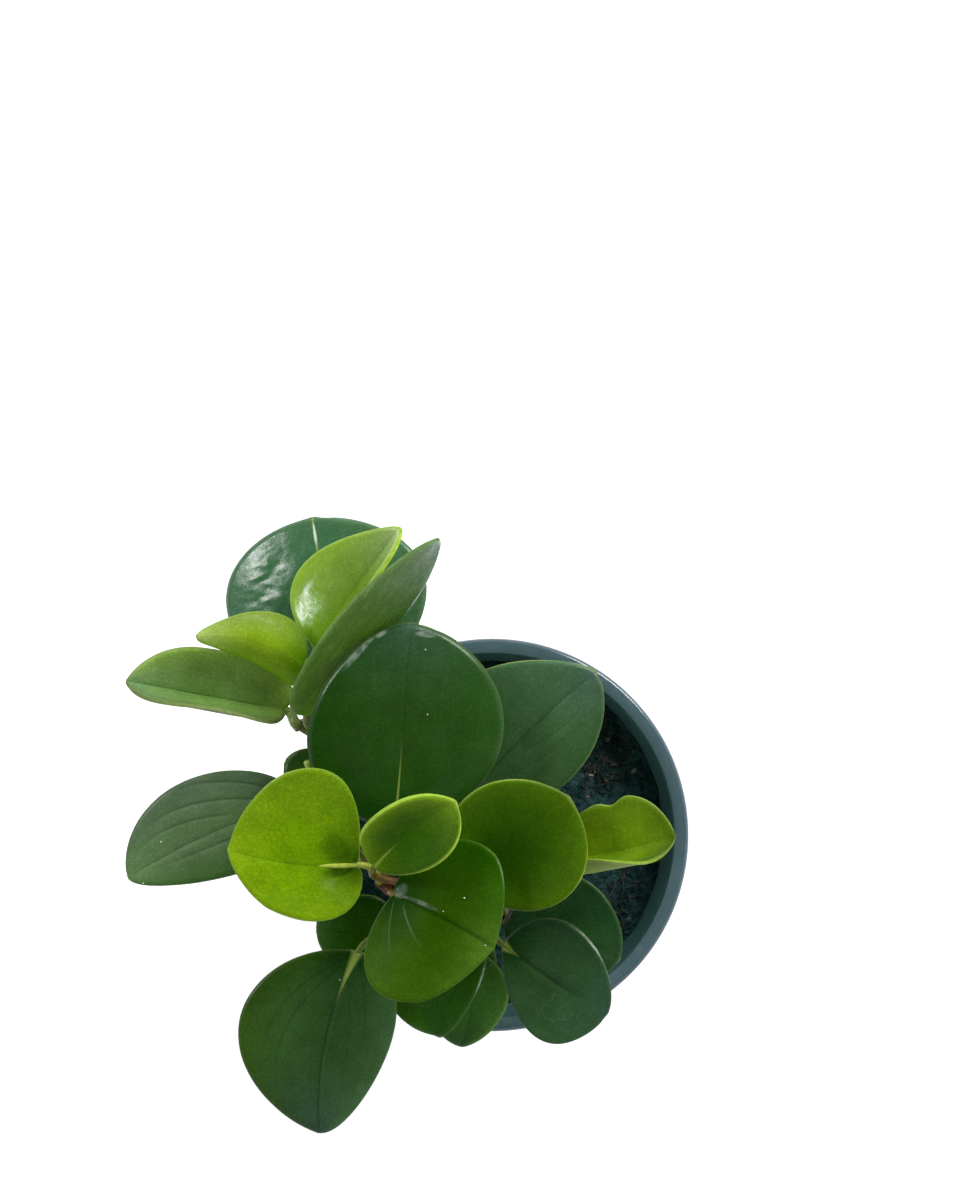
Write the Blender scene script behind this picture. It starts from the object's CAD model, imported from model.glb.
"""Looks of a small potted peperomia: thick round leaves on leaning stems, in a blue-grey plastic pot."""

import math
import random

import bpy
import numpy as np
from mathutils import Matrix, Vector, noise


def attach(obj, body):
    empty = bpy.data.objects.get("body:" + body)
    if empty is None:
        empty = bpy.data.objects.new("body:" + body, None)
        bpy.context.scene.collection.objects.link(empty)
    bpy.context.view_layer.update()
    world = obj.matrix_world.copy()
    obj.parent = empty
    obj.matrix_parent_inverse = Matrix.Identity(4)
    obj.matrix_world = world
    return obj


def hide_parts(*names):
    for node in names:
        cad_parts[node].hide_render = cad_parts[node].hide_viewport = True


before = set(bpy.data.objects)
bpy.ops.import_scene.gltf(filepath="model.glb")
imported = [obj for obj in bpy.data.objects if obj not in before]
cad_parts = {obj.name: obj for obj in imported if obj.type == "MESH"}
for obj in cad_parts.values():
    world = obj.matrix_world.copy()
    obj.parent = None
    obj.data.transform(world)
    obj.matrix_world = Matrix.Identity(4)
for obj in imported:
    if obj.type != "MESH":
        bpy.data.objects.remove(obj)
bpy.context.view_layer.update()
bpy.ops.object.select_all(action="DESELECT")

# Measures in mm, with the same values as the solids; MM turns them into metres
MM = 0.001
RIM = 118.0
RIM_RADIUS = 70.0
LIP_HEIGHT = 13.0
FOOT_RADIUS = 47.0
WALL = 3.0
POT_FLOOR = 3.5
TAPER = (RIM_RADIUS - 5 - FOOT_RADIUS) / (RIM - LIP_HEIGHT - 2)
SOIL_TOP = RIM - 17.0
SOIL_RADIUS = 61.0
SOIL_MOUND = 3.5
SOIL_REACH = 0.62
BLADE_THICKNESS = 1.2
MARGIN_ROUND = 0.42
STALK_RADIUS = 1.35
STALK_DEPTH = 0.75
HEEL_REACH = 0.6
LEAF_PULL = 8.0

# How fine the meshes are
POT_STEPS = 168
SOIL_CELLS = 210
STEM_STEPS = 110
STALK_STEPS = 40
LARGE_LEAF = 36
LARGE_GRID, SMALL_GRID = (96, 72), (48, 40)

# Loose matter on the soil. The first chips and fibres lie in heaps where the soil is open to view.
CHIPS, HEAPED_CHIPS = 900, 260
FIBRES, FRONT_FIBRES, SPREAD_FIBRES = 120, 9, 45
CHIP_HEAPS = ((38, 19), (43, 33), (40, 22), (46, -30), (48, 6))
FIBRE_HEAPS = ((38, 21), (42, 33), (38, 24), (47, -28), (46, -14))
LONG_FIBRE = (42.6, -41.0, 0.9, -0.62)
CHIP_SEED, DUST_SEED = 41, 7

# Camera straight above, as in the photograph, with a 36 mm wide sensor
CAMERA_PLACE = (-4.29, 83.70, 1318)
CAMERA_LENS = 101.24

# Windows: the way to each, its width and height in metres, and its strength in watts
WINDOWS = {
    "right_window": ((0.526, 0.627, 0.574), 0.9, 40),
    "left_window": ((-0.644, 0.372, 0.669), 0.5, 15),
}
WINDOW_CENTRE, WINDOW_AWAY = (0, 0.03, 0.14), 2.1
SURROUND_STRENGTH = 0.92
FLOOR_GLOW = 0.6

# Stems: radius at foot and top, where each stands in the soil, and the points above that it runs through.
# Each height is above the rim.
STEM_FEET = (-41, -13, -10)
STEMS = {
    "left": dict(radius=(3.2, 2.7), foot=(-18, -30), points=[
        (-20, -28.5, 16), (-25.5, -23, 44), (-32, -16, 57), (-37.5, -10.5, 67)]),
    "back": dict(radius=(2.4, 1.8), foot=(-14, 6), points=[
        (-19, 9.5, 8), (-33, 19, 26), (-50, 31, 38), (-66, 40.8, 47)]),
    "right": dict(radius=(2.8, 2.2), foot=(5, 0), points=[(3.5, -2, 14), (-0.5, -6.5, 38), (-6.5, -13, 60)]),
    "front": dict(radius=(2.6, 2.0), foot=(4, -26), points=[(3, -27, 14), (-1.5, -29, 41)]),
}

# Leaves. foot is where the blade begins, its height above the rim; at is how far up its stem the stalk grows.
# heading is the way the blade points, turned from +X; pitch is how it rises and roll how its left side lifts.
# heel and tip are how pointed the ends are, lobe how far the heel's sides reach back, bow how far the midrib
# swings, and fold and cup how each half stands up and curls. width, belly, lobe, fold and cup are pairs, left side
# and right side, or one number for both. dent is a dip in the left margin: its place, reach and depth.
LEAF_KEYS = ("name", "finish", "stem", "at", "foot", "heading", "pitch", "roll", "arch", "length", "width",
             "belly", "heel", "tip", "lobe", "bow", "fold", "cup")
LEAF_ROWS = [
    ("large_middle", "dark", "left", 0.82, (-33, 6, 67), 85.5, 6, 5, 22, 71, (31.5, 34), (0.15, -0.05), 1.3, 1.15,
     0, 0, 2, -8),
    ("lime_round", "lime", "left", 1, (-45, -4.2, 80), 173, 4, 0, 10, 43, (18, 32.5), (0.25, 0.15), 1.3, 1.17,
     (6.5, 2), 2, 2, 14),
    ("small_cupped", "olive", "left", 0.96, (-39.3, -4.7, 84), 39.7, 22, 4, 5, 37.5, (14.6, 13.9), (0.15, -0.25),
     1.05, 1.4, 0, 1.7, 6, (58, 36)),
    ("broad_front", "olive", "left", 0.92, (-33, -14.5, 74), -27, 10, 0, 50, 39.5, (27.5, 31.5), (-0.15, 0.15),
     1.3, 1.7, (4, 5), 1, 4, 0),
    ("left_veined", "grey_green", "left", 0.9, (-65.5, 15, 52), -156, -2, 4, 14, 64.5, (16, 20), (0.35, -0.05),
     0.9, 1.2, (1, 0.5), -2.5, 5, (-10, -14)),
    ("long_front", "dark", "left", 0.76, (-46, -36.5, 48), -102, -2, 0, 24, 64, (21.5, 30), (0.25, 0.05), 1.15,
     1.25, (0, 1.5), -4.5, 4, -4),
    ("shaded_left", "dark", "left", 0.62, (-34.5, -28.5, 36), -177, 2, 0, 20, 26.5, (14, 12.5), (0, 0.1), 0.9,
     1.05, 1, 1.5, 4, 0),
    ("front_middle", "dark", "left", 0.66, (-14.5, -28, 40), -95, 4, 0, 20, 38.5, (14.5, 18), (0.4, -0.1), 0.9,
     1.15, (0.5, 1), -2.5, 4, 0),
    ("back_round", "dark", "back", 0.64, (-55.1, 54.2, 40), 97, -6, -4, 20, 59, 35.5, -0.1, 1, 1.15, (0, 1), -1,
     0, (-20, -6)),
    ("young_folded", "lime", "back", 0.95, (-60.1, 67.4, 53), 54.5, 13, -6, -24, 51, (20, 15), (0.55, -0.35), 1.3,
     1.05, (0, 1), 0.5, (-4, 62), (-22, 20)),
    ("upright", "fresh", "back", 0.89, (-62.5, 44.5, 55), 52.5, 27, 62, 5, 83, (18, 20), (0.1, 0.55), 0.75, 1.25,
     (2.5, 1), -1.5, -6, (-20, -25)),
    ("young_arched", "lime", "back", 0.985, (-63.8, 61.2, 60.2), 163.5, 18, -8, 10, 38.5, (9, 11), (0.5, 0.6),
     0.65, 0.75, (5.5, 1), -4, -10, -35),
    ("boat_left", "fresh", "back", 1, (-71, 46, 47), 169, 12, -6, 12, 55, (15.5, 16.5), (0.2, -0.1), 0.9, 1.5,
     (-3, 6.5), -0.2, (48, 4), (74, 14)),
    ("left_hidden", "dark", "back", 0.7, (-49, 19, 38), 157.5, 4, 0, 20, 24, (11.5, 10.5), (0.05, 0.1), 0.9, 1.05,
     1, 1.5, 5, 0),
    ("back_low", "dark", "back", 0.46, (-24, 22, 18), 98, 2, 0, 20, 40, 16, 0.1, 0.9, 1.1, 1, 1, 5, 0),
    ("right_crown", "dark", "right", 0.66, (-5.5, 19.5, 44), 44.5, 10, 0, 20, 58, (26.5, 21.5), (0.35, 0.1), 0.95,
     1.3, (0, 1), 1.5, 6, 0),
    ("olive_round", "olive", "right", 1, (-6, -13, 68), 45, 8, 0, 14, 44.5, (22.5, 25), (0.1, 0), 1.05, 1.25,
     (1.5, 0), 1.5, 4, 10),
    ("over_rim", "fresh", "right", 0.76, (20.8, -4.5, 52), 11.8, 14, -2, 14, 43, (17.5, 15), (-0.31, 0.5), 0.9,
     1.36, 2, -1.3, (2, 8), (12, 150)),
    ("crown_low", "dark", "right", 0.5, (2, 9, 12), 94, 4, 0, 16, 33, (12, 11), 0.1, 0.9, 1.1, 1, 1, 5, 0),
    ("right_front", "dark", "front", 1, (3.5, -34, 48), -32.5, 8, 0, 24, 43, (19, 18.5), (0.2, -0.4), 1.3, 1.2,
     (1, 0), -0.5, 4, -4),
    ("right_under", "dark", "front", 0.76, (7, -21.5, 34), -27, 6, 0, 20, 41.5, 18, (0.15, 0.1), 0.9, 1.1, (0, 1),
     1, 4, 0),
    ("front_low", "dark", "front", 0.6, (-6, -39, 24), -98, 2, 0, 20, 33.5, (12, 13), (0.2, -0.3), 1.15, 1.35,
     (0, 1), 1.5, 4, 0),
    ("front_lowest", "dark", "front", 0.48, (-5, -34, 8), -118, 4, 0, 16, 30, 11, 0.1, 0.9, 1.1, 1, 1, 5, 0),
]
LEAF_EXTRAS = {
    "left_veined": dict(side_stalk=(-62.3, 29.4, 68)),
    "boat_left": dict(stalk=1.9),
    "over_rim": dict(dent=(0.545, 0.045, 0.13)),
}
LEAVES = [{**dict(zip(LEAF_KEYS, row)), **LEAF_EXTRAS.get(row[0], {})} for row in LEAF_ROWS]

# How each leaf looks. colours are its screen shades at heel, middle, tip and left and right margin.
# rib: how strongly the pale midrib shows and how far it reaches; rib_width: how wide it is at the heel, in mm.
# crease: how dark and how deep the midrib's line is, how far it reaches and how wide it is.
# veins: the side veins below; vein_wide: their width in mm; sheen: the pale line beside them.
# edge: how pale the margin is; pale: its shade. net, streaks, patches: how strongly these marks show.
# gloss: how rough the skin is; shine: how bright. glare, shade: pale and dark marks in the skin.
# dimples, puckers: how uneven the blade is, in mm; bead: how wide its rounded margin; dips, rough_patch: single
# places. ridge: how far the stalk lies below the midrib; stalk, warm, brown: its green and brown shades and how
# far the brown reaches; under: the shade of the under side.
PLAIN_LOOK = dict(
    rib=(0.1, 0.4), rib_width=1.4, crease=(0.3, 0.1, 0.9, 0.6), veins="faint", vein_wide=0.5, edge=0.3, net=0.1,
    streaks=0.12, gloss=0.26, shine=0.2, ridge=0.55, bead=1.4, dimples=0.35, puckers=0.06,
    stalk=(98, 122, 34), warm=(98, 66, 22), brown=0.4)
HIDDEN_LOOK = dict(colours=((34, 64, 16), (38, 68, 20), (42, 70, 22), (42, 72, 24), (42, 72, 24)), rib=(0.3, 0.4))
LOOKS = {
    "large_middle": dict(colours=((0, 60, 0), (33, 66, 16), (52, 79, 53), (19, 59, 3), (37, 76, 20)),
        rib=(0.75, 0.5), rib_width=1.0, crease=(0.25, 0.1, 0.95, 0.6), dimples=0.5, gloss=0.2, shine=0.3,
        bead=2.4,
        glare=((0.75, 0.87, 0.09, 0.08, 0.2), (0.84, 0.8, 0.03, 0.12, 0.3), (0.86, -0.4, 0.025, 0.3, 0.25))),
    "lime_round": dict(colours=((8, 56, 0), (98, 136, 0), (127, 160, 16), (107, 140, 7), (101, 134, 15)),
        rib=(0.9, 0.34), rib_width=1.5, crease=(0.4, 0.15, 1.0, 0.5), net=0.4, edge=1.0, dimples=0.5, gloss=0.35,
        shine=0.1, dips=((0.27, 0.2, 4.2, 1.2),), shade=(0.22, 0.16), ridge=0.15, stalk=(176, 192, 66),
        warm=(150, 156, 60)),
    "small_cupped": dict(colours=((82, 113, 0), (42, 83, 0), (98, 129, 26), (126, 167, 28), (44, 80, 0)),
        rib=(0.5, 0.45), crease=(0.0, 0.0, 1.0, 0.5), net=0.25, edge=1.0, shine=0.06, gloss=0.4,
        warm=(112, 62, 20), brown=0.9),
    "broad_front": dict(colours=((0, 46, 0), (37, 69, 0), (73, 111, 28), (32, 82, 0), (60, 93, 15)),
        rib=(0.3, 0.2), crease=(0.7, 0.25, 1.05, 1.3), veins="front", edge=0.45, gloss=0.4, shine=0.03, sheen=0.6,
        brown=1.0, warm=(112, 62, 20),
        glare=((0.12, 0.22, 0.12, 0.34, 0.22), (0.28, 0.06, 0.2, 0.05, 0.16), (0.73, 0.98, 0.14, 0.045, 0.5))),
    "left_veined": dict(colours=((4, 54, 0), (70, 97, 55), (87, 119, 68), (40, 83, 0), (64, 85, 59)),
        rib=(0.0, 0.5), crease=(0.5, 0.25, 0.95, 0.7), veins="left", vein_wide=1.0, edge=0.2, gloss=0.5,
        shine=0.25, sheen=0.1),
    "long_front": dict(colours=((0, 50, 0), (49, 83, 37), (44, 70, 51), (65, 99, 57), (45, 73, 0)),
        rib=(1.0, 0.4), rib_width=2.9, crease=(0.65, 0.2, 1.04, 0.8), veins="long", vein_wide=0.9, edge=0.35),
    "shaded_left": dict(colours=((33, 67, 2), (29, 68, 0), (51, 83, 36), (37, 71, 13), (0, 43, 0)), edge=0.2),
    "front_middle": dict(colours=((28, 62, 6), (29, 65, 13), (32, 68, 16), (36, 79, 8), (58, 104, 5)),
        crease=(0.3, 0.1, 0.8, 0.6), edge=0.5, gloss=0.25, bead=1.6, glare=((0.47, 1.0, 0.16, 0.07, 0.6),)),
    "back_round": dict(colours=((48, 86, 50), (48, 94, 54), (60, 98, 62), (56, 96, 62), (66, 100, 62)),
        rib=(0.5, 1.6), rib_width=0.9, crease=(0.1, 0.1, 0.9, 0.6), dimples=0.3, gloss=0.2, shine=0.4,
        rough_patch=(0.6, 0.62, 0.13, 0.26, 0.4), bead=2.0, glare=((0.8, 0.0, 0.1, 0.03, 0.7),)),
    "young_folded": dict(colours=((94, 143, 0), (99, 134, 28), (150, 175, 109), (127, 164, 0), (126, 150, 42)),
        rib=(0.2, 0.9), crease=(0.1, 0.1, 0.9, 0.6), edge=0.9, gloss=0.18, shine=0.4, puckers=0.02, dimples=0.1,
        rough_patch=(0.28, 0.7, 0.12, 0.3, 0.06), glare=((0.3, 0.67, 0.14, 0.07, 0.5),)),
    "upright": dict(colours=((102, 156, 0), (72, 109, 28), (136, 154, 133), (84, 120, 44), (64, 100, 48)),
        rib=(0.1, 0.6), crease=(0.2, 0.1, 0.9, 0.6), veins="streak", edge=0.7, streaks=0.6, shine=0.12,
        pale=(118, 136, 106), glare=((0.92, 0.2, 0.14, 0.6, 0.2),)),
    "young_arched": dict(colours=((66, 115, 0), (119, 151, 19), (170, 192, 100), (121, 178, 0), (94, 113, 47)),
        rib=(0.1, 0.5), crease=(0.1, 0.1, 0.9, 0.6), edge=0.9, gloss=0.32, shine=0.1),
    "boat_left": dict(colours=((115, 150, 57), (101, 136, 64), (97, 130, 77), (77, 91, 62), (141, 175, 67)),
        rib=(0.0, 0.9), crease=(0.8, 0.15, 1.0, 0.8), edge=0.6, patches=0.25, gloss=0.4, pale=(150, 172, 96),
        shine=0.12, stalk=(116, 140, 62), warm=(100, 96, 50), brown=0.08),
    "left_hidden": dict(colours=((38, 68, 14), (44, 78, 18), (50, 82, 24), (46, 76, 22), (50, 84, 28))),
    "back_low": HIDDEN_LOOK,
    "right_crown": dict(colours=((49, 88, 43), (56, 92, 49), (63, 88, 71), (66, 100, 62), (42, 72, 29)),
        rib=(0.0, 0.9), crease=(0.45, 0.25, 0.97, 0.9), veins="side", edge=0.5, gloss=0.35, bead=1.6),
    "olive_round": dict(colours=((66, 110, 10), (32, 69, 0), (63, 90, 5), (66, 100, 8), (70, 102, 3)),
        rib=(0.0, 0.3), crease=(0.0, 0.05, 0.9, 0.6), net=0.2, edge=1.0, gloss=0.4, shine=0.06),
    "over_rim": dict(colours=((82, 114, 4), (103, 137, 14), (57, 80, 11), (76, 105, 16), (31, 55, 26)),
        rib=(0.1, 0.5), crease=(0.0, 0.05, 0.9, 0.6), net=0.2, edge=0.7, gloss=0.4, shine=0.03,
        under=(128, 148, 60)),
    "crown_low": HIDDEN_LOOK,
    "right_front": dict(colours=((0, 57, 0), (42, 73, 36), (45, 73, 52), (28, 57, 30), (49, 82, 46)),
        rib=(1.0, 0.3), rib_width=3.6, crease=(0.65, 0.35, 0.74, 1.5), veins="fork", edge=0.4, ring=True,
        gloss=0.25, bead=1.6, glare=((0.6, 1.0, 0.15, 0.06, 0.6),)),
    "right_under": dict(colours=((0, 2, 0), (46, 90, 44), (40, 67, 36), (33, 71, 31), (11, 53, 6))),
    "front_low": dict(colours=((21, 55, 32), (77, 131, 54), (50, 77, 42), (106, 155, 64), (50, 86, 25))),
    "front_lowest": HIDDEN_LOOK,
}

# Side veins: where one leaves the midrib, how far out it runs (above 0 on the left side), how quickly it turns
# along the blade, where it ends, its depth in mm and how dark it is
VEINS = {
    "faint": [(0.0, 0.95, 0.6, 0.6, 0.05, 0.1), (0.0, -0.95, 0.6, 0.6, 0.05, 0.1),
              (0.14, 0.8, 0.6, 0.7, 0.04, 0.08), (0.12, -0.8, 0.6, 0.7, 0.04, 0.08)],
    "side": [(0.0, 0.95, 0.6, 0.7, 0.1, 0.15), (0.0, -0.95, 0.6, 0.6, 0.12, 0.15),
             (0.1, -0.75, 0.6, 0.7, 0.14, 0.3), (0.3, -0.6, 0.7, 0.85, 0.12, 0.2)],
    "front": [(0.046, -1.12, 0.64, 0.44, 0.2, 0.5), (0.158, -0.8, 0.5, 0.52, 0.22, 0.55)],
    "long": [(0.02, -1.0, 0.55, 0.62, 0.1, 0.4), (0.1, -0.8, 0.55, 0.7, 0.1, 0.4),
             (0.02, 0.9, 0.55, 0.6, 0.1, 0.3), (0.2, 0.7, 0.6, 0.75, 0.08, 0.25)],
    "left": [(-0.07, -1.28, 0.5, 0.66, 0.22, 0.7), (0.106, -1.0, 0.5, 0.78, 0.24, 0.75),
             (0.311, -0.69, 0.7, 0.86, 0.22, 0.7), (-0.1, 0.28, 1.18, 0.8, 0.22, 0.6),
             (-0.05, 0.95, 0.6, 0.6, 0.16, 0.25)],
    "fork": [(0.42, 0.9, 0.7, 0.72, 0.16, 0.4), (0.05, 0.9, 0.6, 0.5, 0.1, 0.15),
             (0.05, -0.9, 0.6, 0.5, 0.1, 0.15)],
    "streak": [(0.05, 0.6, 0.7, 0.8, 0.08, 0.15), (0.3, -0.3, 0.7, 0.9, 0.1, 0.15)],
}
VEIN_TURN = 4.2
# A vein begins over these shares of the blade after its start, and fades over this share before its end
VEIN_START, VEIN_FADE = (0.07, 0.15), 0.3
CREASE_FADE = 0.25

# Screen shades of pale parts and marks
PALE_RIB, PALE_MARGIN, PALE_UNDER = (176, 196, 92), (168, 192, 84), (140, 164, 84)
VEIN_SHEEN, GLARE, SCRATCH = (128, 160, 120), (214, 226, 216), (96, 122, 92)

# The closed scratch on the lower right leaf, in metres
RING_PLACE, RING_RADIUS = (0.0216, -0.0554), 0.0044

# Dust specks: leaf, share along it, side, and size in mm
DUST = [
    ("left_veined", 0.67, -0.28, 0.42), ("left_veined", 0.83, 0.85, 0.36), ("broad_front", 0.555, 0.34, 0.4),
    ("broad_front", 0.485, 0.08, 0.32), ("broad_front", 0.81, -0.09, 0.36), ("large_middle", 0.775, -0.26, 0.4),
    ("large_middle", 0.55, -0.23, 0.36), ("large_middle", 0.475, 0.63, 0.34), ("long_front", 0.265, -0.07, 0.34),
]


def linear(shades):
    """Screen shades from 0 to 255 as the light that a surface sends back."""
    parts = [shade / 255 for shade in shades]
    return tuple(c / 12.92 if c <= 0.04045 else ((c + 0.055) / 1.055) ** 2.4 for c in parts) + (1.0,)


def blended(first, second, part):
    return tuple((1 - part) * a + part * b for a, b in zip(first, second))


# Finishes. Scales of grain and cells are per metre.

class Finish:
    """A material with its shader, and short ways to add the nodes that feed it."""

    def __init__(self, name, roughness, specular):
        self.material = bpy.data.materials.new(name)
        self.material.use_nodes = True
        self.tree = self.material.node_tree
        self.shader = self.tree.nodes["Principled BSDF"]
        self.shader.inputs["Roughness"].default_value = roughness
        self.shader.inputs["Specular IOR Level"].default_value = specular
        self.place = self.node("TexCoord").outputs["Object"]

    def node(self, kind, **inputs):
        made = self.tree.nodes.new("ShaderNode" + kind)
        for key, value in inputs.items():
            self.put(made.inputs[key.replace("_", " ")], value)
        return made

    def put(self, socket, value):
        if isinstance(value, bpy.types.NodeSocket):
            self.tree.links.new(value, socket)
        else:
            socket.default_value = value

    def own(self, name):
        found = self.node("Attribute")
        found.attribute_name = name
        return found.outputs["Fac"]

    def math(self, operation, *values):
        made = self.node("Math")
        made.operation = operation
        for socket, value in zip(made.inputs, values):
            self.put(socket, value)
        return made.outputs[0]

    def times(self, first, second):
        return self.math("MULTIPLY", first, second)

    def add(self, first, factor, second):
        return self.math("MULTIPLY_ADD", first, factor, second)

    def span(self, value, low, high, start=0.0, end=1.0):
        """A soft step from start to end while the value goes from low to high."""
        made = self.node("MapRange")
        made.interpolation_type = "SMOOTHSTEP"
        for socket, number in zip(made.inputs, (value, low, high, start, end)):
            self.put(socket, number)
        return made.outputs[0]

    def mix(self, share, first, second, blend="MIX", kind="RGBA"):
        made = self.node("Mix")
        made.data_type = kind
        made.blend_type = blend
        socket = {"RGBA": 6, "FLOAT": 2}[kind]
        for index, value in ((0, share), (socket, first), (socket + 1, second)):
            self.put(made.inputs[index], value)
        return made.outputs[2 if kind == "RGBA" else 0]

    def dim(self, colour, factors, amount):
        """The colour, multiplied by the factors where the amount is 1."""
        return self.mix(amount, colour, self.mix(1.0, colour, (*factors, 1.0), "MULTIPLY"))

    def tint(self, colour, shades, amount):
        """The colour, with the screen shades in its place where the amount is 1."""
        return self.mix(amount, colour, linear(shades))

    def grain(self, scale, detail=2.0, stretch=(1, 1, 1), vector=None):
        vector = vector or self.place
        if stretch != (1, 1, 1):
            vector = self.node("Mapping", Vector=vector, Scale=stretch).outputs[0]
        return self.node("TexNoise", Vector=vector, Scale=scale, Detail=detail).outputs["Fac"]

    def spots(self, scale, detail, low, high, amount=1.0, stretch=(1, 1, 1)):
        """Where the grain is strong: nothing below low, the full amount above high."""
        return self.span(self.grain(scale, detail, stretch), low, high, 0.0, amount)

    def cells(self, scale):
        """How far a place is from the lines of a net."""
        made = self.node("TexVoronoi")
        made.feature = "DISTANCE_TO_EDGE"
        self.put(made.inputs["Vector"], self.place)
        made.inputs["Scale"].default_value = scale
        return made.outputs["Distance"]

    def axis(self, name):
        return self.node("SeparateXYZ", Vector=self.place).outputs[name]

    def away(self, x=0.0, y=0.0):
        """How far a place is, seen from above, from an upright line."""
        level = self.node("Mapping", Vector=self.place, Location=(-x, -y, 0), Scale=(1, 1, 0))
        found = self.node("VectorMath")
        found.operation = "LENGTH"
        self.put(found.inputs[0], level.outputs[0])
        return found.outputs["Value"]

    def roughness(self, value):
        self.put(self.shader.inputs["Roughness"], value)

    def done(self, colour, height, depth, strength):
        """The material, with its colour and with a relief of a depth in metres."""
        self.put(self.shader.inputs["Base Color"], colour)
        bump = self.node("Bump", Height=height, Distance=depth, Strength=strength)
        self.put(self.shader.inputs["Normal"], bump.outputs[0])
        return self.material


def vein_lines(f, veins, aside, wide):
    """How near a place is to lines beside the side veins, in mm to one side, and how strong they are there."""
    share, side, half = f.own("share"), f.own("side"), f.own("half")
    found = 0.0
    for start, spread, rate, end, _, dark in VEINS[veins]:
        along = f.math("MAXIMUM", f.math("SUBTRACT", share, start), 0.0)
        line = f.add(f.math("POWER", math.exp(-VEIN_TURN * rate), along), -spread, spread)
        gap = f.math("ABSOLUTE", f.add(f.math("SUBTRACT", side, line), half, aside))
        weight = f.times(f.span(gap, 0.0, wide, dark, 0.0), f.span(share, end - VEIN_FADE, end, 1.0, 0.0))
        weight = f.times(weight, f.span(share, start + VEIN_START[0], start + VEIN_START[1]))
        found = f.math("MAXIMUM", found, weight)
    return found


def broken_marks(f, marks, least):
    """Soft broken patches: share, side, reach along, reach across and strength. least is what the gaps keep."""
    share, side = f.own("share"), f.own("side")
    found = 0.0
    for place, aside, long, wide, strength in marks:
        a = f.math("DIVIDE", f.math("SUBTRACT", share, place), long)
        b = f.math("DIVIDE", f.math("SUBTRACT", side, aside), wide)
        found = f.math("MAXIMUM", found, f.span(f.add(a, a, f.times(b, b)), 0.1, 1.0, strength, 0.0))
    return f.times(found, f.span(f.grain(380, 3), 0.38, 0.6, least, 1.0))


def ring_mark(f):
    """A faint closed scratch about 9 mm across on the lower right leaf."""
    wobble = f.span(f.grain(260, 1), 0.3, 0.7, -0.0009, 0.0009)
    gap = f.math("ABSOLUTE", f.math("SUBTRACT", f.math("ADD", f.away(*RING_PLACE), wobble), RING_RADIUS))
    return f.times(f.span(gap, 0.0, 0.00022, 0.45, 0.0), f.spots(500, 2, 0.4, 0.55))


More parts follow.
